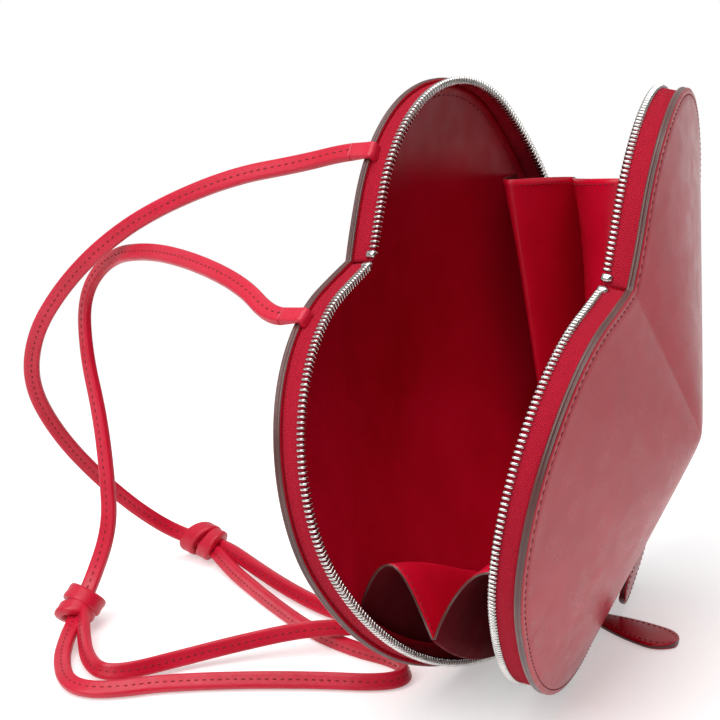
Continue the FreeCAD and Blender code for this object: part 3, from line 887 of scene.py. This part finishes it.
# %% Zip teeth and stops
TOOTH_RING_SHARES = [
    (0.0, 0.55, 0.62), (0.1, 0.86, 0.86), (0.3, 1.0, 1.0),
    (0.75, 1.0, 1.0), (0.93, 0.9, 0.9), (1.0, 0.7, 0.7)]
FINE_PITCH = 0.0016
FINE_LENGTH = 0.00082
FIRST_TOOTH_SHARE = 0.75
CORNER_SHARE = 0.62


def block(distance, length, width, height):
    """Rounded metal block on the row's line, up from the tops of the teeth."""
    place, heading = ROW.at(distance)
    side = np.array([-heading[1], heading[0]])
    base = row_height(place)
    rows = []
    for up, long, wide in TOOTH_RING_SHARES:
        x, y = length / 2 * long, width / 2 * wide
        low_x, low_y = x * CORNER_SHARE, y * CORNER_SHARE
        corner = [(x, low_y), (low_x, y), (-low_x, y), (-x, low_y)]
        corners = corner + [(-a, -b) for a, b in corner]
        rows.append([(*(place + heading * a + side * b), base + height * up) for a, b in corners])
    return loft(rows)


def teeth(side, half):
    """A row of teeth and the stop at its end."""
    count = int((ROW_END - row_start(side, half)) / FINE_PITCH)
    places = [ROW_END - FINE_PITCH * (step + FIRST_TOOTH_SHARE) for step in range(count)]
    metal = {
        "teeth": joined(block(place, FINE_LENGTH, TOOTH_WIDTH, TOOTH_HEIGHT) for place in places),
        "stop": block(ROW_END + STOP_LENGTH / 2, STOP_LENGTH, STOP_WIDTH, STOP_HEIGHT)}
    for kind, (points, faces) in metal.items():
        points = moved(points, SIDES[side], half == "floor")
        made = piece(f"{side}_{half}_{kind}_metal", points, faces, [NICKEL])
        seat(made, side, "zip_metal", f"{side}_{half}_{kind}")
    return count


for side in SIDES:
    print(side, "teeth", [teeth(side, half) for half in SLIDERS_AT])

# %% [markdown]
# Each gusset is one leather strip that folds into the bag in two humps with a crease between,
# like the side of a paper bag.  It starts near the tip, is deepest a little past halfway and
# leans to the open mouth.  It is drawn as a sheet of cross sections from the back panel to the
# opened front one.
#
# Depths are at the tip's end, in the belly and at the mouth.  Leads say how far a fold leans to
# the mouth: at the tip's end, then at the mouth by the back and by the front.  Folds give the
# side of the heart, the crease's place, the skew and height of each hump, and the roundness.

# %% Gussets
GUSSET = 0.0008
GUSSET_INSET = 0.008
GUSSET_CLEARANCE = 0.0003
GUSSET_PLACES = (0.008, 0.157)
GUSSET_DEPTHS = {"upper": (0.004, 0.0240, 0.022), "floor": (0.004, 0.0236, 0.0165)}
GUSSET_CREASE_SHARE = 0.35
GUSSET_LEADS = {"upper": (-0.73, 0.8, 1.2), "floor": (0.6, 0.8, 0.8)}
GUSSET_FOLDS = {"upper": (1, 0.32, (1.8, 1.0), (1.0, 1.0), 0.6),
                "floor": (-1, 0.45, (1.5, 1.0), (1.0, 1.25), 0.7)}
GUSSET_ROWS = 48
GUSSET_COLUMNS = 65
GUSSET_SEAM = 0.0035
GUSSET_STITCH = (0.0024, 0.00025)
LYING = np.array(lying())


def gusset_section(mirror, crease_at, skews, heights, roundness, distance, lead, depth, drop):
    """Middle line of the W across the open bag, and the sheet's normals along it."""
    place, heading = Heart(GUSSET_INSET).at(distance)
    height = panel_height(place) - LINING - LINING_CLEARANCE - GUSSET_CLEARANCE - GUSSET / 2
    back = moved([(place[0] * mirror, place[1], -height)], LYING)[0]
    front = moved([(place[0] * mirror, place[1], height)], FRONT)[0]
    inward = np.array([-heading[1] * mirror, heading[0], 0])
    inward = inward + np.outer(lead, [heading[0] * mirror, heading[1], 0])
    inward = turned(inward, LYING) + turned(inward, FRONT)
    across = unit(front - back)
    inward = unit(inward - np.outer(inward @ across, across))
    share = np.linspace(0, 1, GUSSET_COLUMNS)
    before = share < crease_at
    from_crease = np.where(before, 1 - share / crease_at, (share - crease_at) / (1 - crease_at))
    hump = np.clip(np.sin(math.pi * from_crease ** np.where(before, *skews)), 0, 1) ** roundness
    rise = depth * hump * np.where(before, *heights) - drop * (1 - from_crease) ** 2
    line = back + np.outer(share * np.linalg.norm(front - back), across) + rise[:, None] * inward
    step = unit(np.gradient(line, axis=0))
    normal = inward - step * (step * inward).sum(1)[:, None]
    return line, unit(normal)


def gusset_sheet(half):
    distances = np.linspace(*GUSSET_PLACES, GUSSET_ROWS)
    share = np.linspace(0, 1, GUSSET_ROWS)
    tip_end, belly, mouth_end = GUSSET_DEPTHS[half]
    depths = tip_end + (mouth_end - tip_end) * share + belly * 4 * share * (1 - share)
    drops = GUSSET_CREASE_SHARE * mouth_end * share
    tip_lead, *mouth_leads = GUSSET_LEADS[half]
    leads = tip_lead + np.outer(share, np.linspace(*mouth_leads, GUSSET_COLUMNS) - tip_lead)
    rows = zip(distances, leads, depths, drops)
    sections = [gusset_section(*GUSSET_FOLDS[half], *row) for row in rows]
    return np.array([s[0] for s in sections]), np.array([s[1] for s in sections])


def gusset(half):
    lines, normals = gusset_sheet(half)
    rows = []
    for line, normal in zip(lines, normals):
        rows.append(np.vstack([line + normal * GUSSET / 2, (line - normal * GUSSET / 2)[::-1]]))
    points, faces = loft(rows)
    slots = np.zeros(len(faces), int)
    hidden = np.arange(2 * GUSSET_COLUMNS) >= GUSSET_COLUMNS
    # The hidden side of the sheet gets the suede painted dark, a painted shade for the hollows behind the
    # folds.
    slots[:(GUSSET_ROWS - 1) * 2 * GUSSET_COLUMNS] = np.where(np.tile(hidden, GUSSET_ROWS - 1), 2, 0)
    slots[-1] = 1
    made = piece(f"{half}_painted_lit_gusset_leather", points, faces, [PAINTED_LIT_GUSSET_LEATHER, EDGE_PAINT, PAINTED_SHADE_SUEDE], slots)
    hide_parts(f"{half}_gusset")
    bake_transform(made)
    seam = -1 - round(GUSSET_SEAM / (GUSSET_PLACES[-1] - GUSSET_PLACES[0]) * GUSSET_ROWS)
    inner = lines[seam] + normals[seam] * GUSSET / 2
    points, faces = stitch_run(inner, normals[seam], *GUSSET_STITCH)
    sewn = piece(f"{half}_gusset_seam", points, faces, [THREAD])
    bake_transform(sewn)
    return made


print([gusset(half).name for half in SLIDERS_AT])

# %% [markdown]
# Each pull is a leather petal on a narrow neck, hung from the slider by a wire ring.  The
# petal is two layers with a painted edge and a line of stitches inside it.  Its outline is
# given by the half width along its length, and the neck may bend before the leaf begins.  A
# pull's angles are in degrees.

# %% Pulls
RING_RADIUS = 0.0020
RING_WIRE = 0.0005
RING_OFFSET = 0.00075
RING_STEPS = 48
RING_SIDES = 12
PETAL_LENGTH = 0.036
PETAL_WIDTH = 0.017
PETAL_THICKNESS = 0.0026
PETAL_CROWN = 0.0004
NECK_WIDTH = 0.004
NECK_THICKNESS = 0.0020
NECK_BEND = 0.006
PETAL_GROWS_OVER = 0.008
PETAL_EDGE_SHARE = 0.93
PETAL_EDGE_ROUND = 0.0005
PETAL_END = 0.0002
PETAL_SEAM = 0.0022
PETAL_SEAM_ROOM = 0.0006
PETAL_SEAM_SINK_SHARE = 0.4
PETAL_STITCH = (0.0022, 0.00019)
PETAL_COLUMNS = 17
CROWN_HALF_WIDTH = 0.004
NECK_STEPS, BEND_STEPS, LEAF_STEPS = 6, 14, 44
PULLS = {
    "upper": {"neck": 0.010, "turn": 90.0, "heading": 6.0, "dip": 8.0, "roll": 28.5},
    "floor": {"neck": 0.005, "turn": 0.0, "heading": -17.0, "dip": 0.0, "roll": 90.0}}
FLOOR_PETAL_LIFT = 0.0001


def pull_frame(half, at):
    turn = Matrix.Identity(4)
    for name, axis in (("heading", "Z"), ("dip", "Y"), ("roll", "X")):
        turn = turn @ Matrix.Rotation(math.radians(PULLS[half][name]), 4, axis)
    return np.array(Matrix.Translation(at) @ turn)


def half_width(along):
    """Half width of a leaf: swelling sides, then a round end."""
    radius = PETAL_WIDTH / 2
    run = PETAL_LENGTH - radius
    rise = radius - NECK_WIDTH / 2
    arc = (run ** 2 + rise ** 2) / (2 * rise)
    if along <= 0:
        return NECK_WIDTH / 2
    if along <= run:
        return radius - arc + math.sqrt(arc ** 2 - (run - along) ** 2)
    return math.sqrt(max(radius ** 2 - (along - run) ** 2, 0))


def petal_line(half):
    """Middle line in the ring's frame: places with a normal, half width, thickness and growth."""
    pull = PULLS[half]
    start = RING_OFFSET + RING_RADIUS - RING_WIRE
    bend = NECK_BEND * math.radians(pull["turn"])
    centre = np.array([start + pull["neck"], -NECK_BEND])
    neck_places = np.linspace(-pull["neck"] - bend, -bend, NECK_STEPS)[:-1]
    bend_places = np.linspace(-bend, 0, BEND_STEPS)[:-1]
    leaf_places = PETAL_LENGTH * np.sin(np.linspace(0, math.pi / 2, LEAF_STEPS))
    rows = []
    for place in (*neck_places, *bend_places, *leaf_places):
        angle = min(max(place + bend, 0), bend) / NECK_BEND
        if place < -bend:
            at = np.array([start + pull["neck"] + bend + place, 0])
        else:
            at = centre + NECK_BEND * np.array([math.sin(angle), math.cos(angle)])
            at = at + max(place, 0) * np.array([math.cos(angle), -math.sin(angle)])
        normal = np.array([math.sin(angle), math.cos(angle)])
        grown = min(max(place / PETAL_GROWS_OVER, 0), 1)
        thick = NECK_THICKNESS + (PETAL_THICKNESS - NECK_THICKNESS) * grown
        rows.append((at, normal, max(half_width(place), PETAL_END), thick, grown))
    return rows


def petal(half, matrix):
    rows, seams = [], {1: [], -1: []}
    across = np.sin(np.linspace(-1, 1, PETAL_COLUMNS) * math.pi / 2)
    for at, normal, half_wide, thick, grown in petal_line(half):
        ring = []
        crown = PETAL_CROWN * grown * min(1, half_wide / CROWN_HALF_WIDTH)
        for face in (1, -1):
            for share in across[::face]:
                past = max(0, abs(share) - PETAL_EDGE_SHARE) / (1 - PETAL_EDGE_SHARE)
                off = face * (thick / 2 - crown * share ** 2 - PETAL_EDGE_ROUND * past)
                ring.append((*(at + normal * off), half_wide * share))
        rows.append(ring)
        if half_wide > PETAL_SEAM + PETAL_SEAM_ROOM:
            for side in (1, -1):
                seams[side].append((at, normal, side * (half_wide - PETAL_SEAM), thick))
    points, faces = loft(rows)
    slots = np.zeros(len(faces), int)
    size = 2 * PETAL_COLUMNS
    for row in range(len(rows) - 1):
        slots[row * size + PETAL_COLUMNS - 1] = 1
        slots[row * size + size - 1] = 1
    made = piece(f"{half}_petal_leather", moved(points, matrix), faces, [BAG_LEATHER, EDGE_PAINT], slots)
    seat(made, f"{half}_pull", "bag_leather", f"{half}_petal")
    runs = []
    line = seams[1] + seams[-1][::-1]
    for face in (1, -1):
        path, ups = [], []
        for at, normal, wide, thick in line:
            rise = thick / 2 - PETAL_CROWN * PETAL_SEAM_SINK_SHARE
            path.append((*(at + normal * face * rise), wide))
            ups.append((*(normal * face), 0))
        runs.append((moved(path, matrix), turned(ups, matrix)))
    sew(f"{half}_petal_seam", runs, f"{half}_pull", "bag_leather", PETAL_STITCH)
    return made


def wire_ring(half, matrix):
    around = np.linspace(0, 2 * math.pi, RING_STEPS, endpoint=False)
    tube = np.linspace(0, 2 * math.pi, RING_SIDES, endpoint=False)
    points = [(RING_OFFSET + (RING_RADIUS + RING_WIRE * math.cos(b)) * math.cos(a),
               (RING_RADIUS + RING_WIRE * math.cos(b)) * math.sin(a), RING_WIRE * math.sin(b))
              for a in around for b in tube]
    faces = loop_faces(RING_STEPS, RING_SIDES)
    made = piece(f"{half}_ring_wire", moved(points, matrix), faces, [NICKEL])
    return seat(made, f"{half}_pull", "zip_metal", f"{half}_ring")


for half in SLIDERS_AT:
    bar = Vector(JOINTS[f"{half}_pull_swing"]["pos_m"])
    ring_matrix = pull_frame(half, bar)
    if half == "floor":
        bar = Vector((bar.x, bar.y, FLOOR_PETAL_LIFT + PETAL_THICKNESS / 2))
    print(wire_ring(half, ring_matrix).name, petal(half, pull_frame(half, bar)).name)

# %% [markdown]
# The sliders and the little fold at the tip keep their solids, with softened edges and the
# right finish, because the solids already have their shapes.

# %% Sliders and tip fold
SOFT_EDGE = 0.0003
SOFT_EDGE_STEPS = 2


def dress(node, material):
    made = frame["nodes"][node]
    made.data.materials.clear()
    made.data.materials.append(material)
    soft = made.modifiers.new("soft_edges", "BEVEL")
    soft.width = SOFT_EDGE
    soft.segments = SOFT_EDGE_STEPS
    soft.limit_method = "ANGLE"


for half in SLIDERS_AT:
    dress(f"{half}_slider", NICKEL)
dress("tip_fold", LINING_LEATHER)
print("sliders and tip fold dressed")

# %% [markdown]
# The strap is a rolled leather strip: wider than it is thick, with one line of stitches down
# the middle of each face.  Its route is a smooth curve through the air and over the floor.  The
# hanging lengths have the control points of their solids, and the loops on the floor are a few
# millimetres off theirs, nearer to the photograph.  The strip twists only as its ends ask.

# %% Strap routes
TIP_FOOT = np.array([0.0047, 0.0774, 0])
STRAP_WIDTH = 0.0058
STRAP_THICKNESS = 0.0032
STRAP_STEP = 0.0010
ROUTE_STEPS = 16
ROUTE_ORDER = 3
TAB_OVERHANG = 0.0035
TAB_LEAD = 0.005
TAB_WIDTH = 0.0066
TAB_THICKNESS = 0.0022
TAB_CLEARANCE = 0.0001
TAB_AT_SHARE = 0.15
UPPER_STRAND = [
    (-0.078, -0.097, 0.172), (-0.104, -0.099, 0.166), (-0.133, -0.102, 0.153), (-0.154, -0.103, 0.139),
    (-0.172, -0.103, 0.122), (-0.186, -0.102, 0.103), (-0.193, -0.097, 0.082), (-0.191, -0.085, 0.060),
    (-0.184, -0.070, 0.039), (-0.173, -0.055, 0.020), (-0.160, -0.045, 0.009)]
NEAR_STRAND = [
    (-0.076, -0.139, 0.140), (-0.104, -0.123, 0.142), (-0.132, -0.107, 0.140), (-0.158, -0.093, 0.133),
    (-0.172, -0.090, 0.117), (-0.170, -0.093, 0.096), (-0.162, -0.097, 0.074), (-0.157, -0.101, 0.052),
    (-0.154, -0.105, 0.034), (-0.158, -0.113, 0.014)]
FIRST_DOUBLE = [
    (-0.1411, -0.0454, 0.0082), (-0.1250, -0.0520, 0.0055), (-0.1042, -0.0632, 0.0045),
    (-0.0827, -0.0726, 0.0040), (-0.0660, -0.0750, 0.0040), (-0.0555, -0.0820, 0.0060),
    (-0.0595, -0.0930, 0.0096), (-0.0754, -0.1030, 0.0096), (-0.0939, -0.1185, 0.0065),
    (-0.1081, -0.1335, 0.0042), (-0.1179, -0.1488, 0.0040), (-0.1261, -0.1533, 0.0040),
    (-0.1359, -0.1470, 0.0044), (-0.1443, -0.1369, 0.0060), (-0.1515, -0.1270, 0.0090)]
SECOND_DOUBLE = [
    (-0.1439, -0.0477, 0.0060), (-0.1318, -0.0559, 0.0036), (-0.1161, -0.0668, 0.0032),
    (-0.0974, -0.0794, 0.0032), (-0.0778, -0.0912, 0.0032), (-0.0580, -0.0975, 0.0032),
    (-0.0440, -0.0985, 0.0032), (-0.0345, -0.1035, 0.0032), (-0.0335, -0.1120, 0.0032),
    (-0.0420, -0.1185, 0.0032), (-0.0560, -0.1235, 0.0032), (-0.0800, -0.1350, 0.0032),
    (-0.1038, -0.1496, 0.0032), (-0.1134, -0.1590, 0.0032), (-0.1229, -0.1649, 0.0032),
    (-0.1329, -0.1633, 0.0032), (-0.1443, -0.1505, 0.0034), (-0.1516, -0.1369, 0.0045),
    (-0.1557, -0.1250, 0.0070)]
KNOTS = {
    "first": ((-0.152, -0.043, 0.0082), (15, -4, -2)),
    "second": ((-0.158, -0.119, 0.009), (1, -14, -6))}


def tab_matrix():
    """Frame of the right tab on a closed front's rim: x out of the heart, z off the inner face."""
    heart = Heart()
    place, heading = heart.at(heart.length - heart.notch_side - heart.lobe_arc * TAB_AT_SHARE)
    corners = [place + heading * side * TAB_WIDTH / 2 for side in (-1, 1)]
    out = Matrix.Rotation(math.atan2(-heading[0], heading[1]), 4, "Z")
    return np.array(Matrix.Translation((*place, min(panel_height(corners)))) @ out)


def on_tab(local, mirrored):
    return moved(moved(local, tab_matrix()), BACK, mirrored)


def strand_start(mirrored):
    """First two points of a strand: the tab's end outside the panel, and straight on from it."""
    end = LEATHER + TAB_OVERHANG
    out = TAB_CLEARANCE + TAB_THICKNESS / 2
    return on_tab([(out, 0, end), (out, 0, end + TAB_LEAD)], mirrored)


def rim_normal(mirrored):
    """Direction out of the heart at a tab, which the strap's face looks to there."""
    return turned(turned([(1, 0, 0)], tab_matrix()), BACK, mirrored)[0]


def smooth(points):
    """Points along a smooth curve that has a route's points as its control points."""
    curve = bpy.data.curves.new("route", "CURVE")
    curve.dimensions = "3D"
    curve.resolution_u = ROUTE_STEPS
    spline = curve.splines.new("NURBS")
    spline.points.add(len(points) - 1)
    for control, point in zip(spline.points, points):
        control.co = (*point, 1)
    spline.order_u = ROUTE_ORDER
    spline.use_endpoint_u = True
    holder = bpy.data.objects.new("route", curve)
    mesh = bpy.data.meshes.new_from_object(holder)
    line = np.array([v.co for v in mesh.vertices])
    bpy.data.meshes.remove(mesh)
    bpy.data.curves.remove(curve)
    return line


def carried(path, first, last):
    """Normals carried along a path without twist, then eased to end as asked."""
    steps = unit(np.gradient(path, axis=0))
    normals = [unit(first - steps[0] * (steps[0] @ first))]
    for step in steps[1:]:
        kept = normals[-1] - step * (step @ normals[-1])
        normals.append(unit(kept))
    normals = np.array(normals)
    goal = unit(last - steps[-1] * (steps[-1] @ last))
    turn = math.atan2(np.cross(normals[-1], goal) @ steps[-1], normals[-1] @ goal)
    angles = np.linspace(0, 1, len(path)) * turn
    sides = np.cross(steps, normals)
    return normals * np.cos(angles)[:, None] + sides * np.sin(angles)[:, None], steps


print("the strap leaves the back panel at", strand_start(False)[0].round(4), strand_start(True)[0].round(4))

# %% [markdown]
# Every length of strap is the same strip, with a groove down each face where its stitches lie.
# Two lengths hang from the tabs to a knot each, and two lie on the floor from knot to knot.

# %% Strap strips
SECTION_SIDES = 32
SECTION_POWER = 0.48
GROOVE_REACH = 0.0009
GROOVE = 0.00018
UP = np.array([0.0, 0.0, 1.0])
TOWARDS_OPENING = np.array([0.25, -0.75, 0.6])
LOOP_FACING = np.array([0.3, -0.9, 0.2])
STRAP_STITCH = (0.0026, 0.00028)


def strip_section():
    """Rounded strip, as places across and off its middle, with a sewn groove along each face."""
    angles = np.linspace(0, 2 * math.pi, SECTION_SIDES, endpoint=False)
    across = np.sign(np.cos(angles)) * np.abs(np.cos(angles)) ** SECTION_POWER * STRAP_WIDTH / 2
    off = np.sign(np.sin(angles)) * np.abs(np.sin(angles)) ** SECTION_POWER * STRAP_THICKNESS / 2
    dip = GROOVE * np.exp(-(across / GROOVE_REACH) ** 2)
    return across, off - np.sign(off) * dip


def swept(path, sides, normals, wide=1.0, thick=1.0):
    """Rows of the strip's section along a path, at shares of its width and thickness."""
    across, off = strip_section()
    off = np.outer(np.broadcast_to(thick, len(path)), off)
    rows = path[:, None] + wide * across[None, :, None] * sides[:, None]
    return rows + off[:, :, None] * normals[:, None]


def strip(name, route, first, last, node):
    path = even(smooth(route), STRAP_STEP)
    normals, steps = carried(path, np.asarray(first, float), np.asarray(last, float))
    points, faces = loft(swept(path, np.cross(steps, normals), normals))
    made = piece(name, points, faces, [STRAP_LEATHER])
    seat(made, "back", "strap_leather", node)
    face = STRAP_THICKNESS / 2 - GROOVE
    runs = [(path + normals * face, normals), (path - normals * face, -normals)]
    sewn = sew(name + "_stitches", runs, "back", "strap_leather", STRAP_STITCH)
    length = np.linalg.norm(np.diff(path, axis=0), axis=1).sum()
    print(name, "is", round(length, 4), "m long")
    return made, sewn, path, length


def strap():
    knots = {name: np.array([place]) for name, (place, along) in KNOTS.items()}
    made = {}
    strands = {"upper": (UPPER_STRAND, "first", False), "near": (NEAR_STRAND, "second", True)}
    for name, (points, tied, mirrored) in strands.items():
        route = [*strand_start(mirrored), *(TIP_FOOT + np.vstack([points, knots[tied]]))]
        facing = rim_normal(mirrored)
        made[f"{name}_strand"] = strip(f"{name}_strap", route, facing, TOWARDS_OPENING, f"{name}_strand")
    for name, points in {"first": FIRST_DOUBLE, "second": SECOND_DOUBLE}.items():
        route = [*(TIP_FOOT + np.vstack([knots["first"], points, knots["second"]]))]
        made[f"{name}_double"] = strip(
            f"{name}_strap_loop", route, LOOP_FACING, -LOOP_FACING, f"{name}_double")
    return made


STRAP = strap()

# %% [markdown]
# The strap is tied to itself twice, and each knot is pulled tight.  A knot shows as two broad
# slanted turns of the strip over a tight core, so it is three closed rings of the strip's
# section, tilted and pressed together.  A ring has a place along the knot, a radius, a slant,
# the turn at which the slant starts, and a share of the strip's width.

# %% Knots and tabs
KNOT_WRAPS = [(-0.0026, 0.0056, 0.0030, 0.5, 1.15), (0.0036, 0.0050, 0.0028, -0.5, 1.0),
              (0.0008, 0.0026, 0.0010, 0.0, 1.7)]
KNOT_THICK_SHARE = 1.1
KNOT_STEPS = 72
TAB_STEP = 0.0003
TAB_MIDDLE_SHARE = 0.6
TAB_ACROSS = np.array([0.0, 1.0, 0.0])


def knot(name, place, along):
    axis = unit(np.array(along, float))
    side = unit(np.cross(axis, UP))
    up = np.cross(side, axis)
    angles = np.linspace(0, 2 * math.pi, KNOT_STEPS, endpoint=False)
    out = np.outer(np.cos(angles), up) + np.outer(np.sin(angles), side)
    wraps = []
    for shift, radius, slant, phase, wide in KNOT_WRAPS:
        along_axis = np.outer(shift + slant * np.cos(angles + phase), axis)
        path = TIP_FOOT + np.array(place) + out * radius + along_axis
        steps = unit(np.roll(path, -1, axis=0) - np.roll(path, 1, axis=0))
        normals = unit(out - steps * (steps * out).sum(1)[:, None])
        rows = swept(path, np.cross(steps, normals), normals, wide, KNOT_THICK_SHARE)
        wraps.append(([*rows.reshape(-1, 3)], loop_faces(KNOT_STEPS, SECTION_SIDES)))
    points, faces = joined(wraps)
    made = piece(f"{name}_strap_knot", points, faces, [STRAP_LEATHER])
    return seat(made, "back", "strap_leather", f"{name}_knot")


def tab(half, mirrored):
    """Flattened end of the strap: in beside the tape's foot, round and over the leather's edge."""
    middle = TAB_CLEARANCE + TAB_THICKNESS / 2
    end = LEATHER + TAB_OVERHANG
    corners = [(TAB_CLEARANCE - TAPE_INSET, -middle), (-middle / 4, -middle), (middle, -middle),
               (middle, middle / 4), (middle, end * TAB_MIDDLE_SHARE), (middle, end)]
    path = even(smooth([(out, 0, height) for out, height in corners]), TAB_STEP)
    normals = np.cross(TAB_ACROSS, unit(np.gradient(path, axis=0)))
    grown = np.clip((path[:, 2] - LEATHER / 2) / (end - LEATHER / 2), 0, 1)
    thick = (TAB_THICKNESS + (STRAP_THICKNESS - TAB_THICKNESS) * grown) / STRAP_THICKNESS
    points, faces = loft(swept(path, np.broadcast_to(TAB_ACROSS, path.shape), normals, thick=thick))
    made = piece(f"{half}_strap_end", on_tab(points, mirrored), faces, [STRAP_LEATHER])
    return seat(made, "back", "strap_leather", f"{half}_strap_tab")


KNOT_PIECES = {name: knot(name, *facts) for name, facts in KNOTS.items()}
TABS = {half: tab(half, half == "near") for half in ("upper", "near")}
print("knots", list(KNOT_PIECES), "tabs", list(TABS))
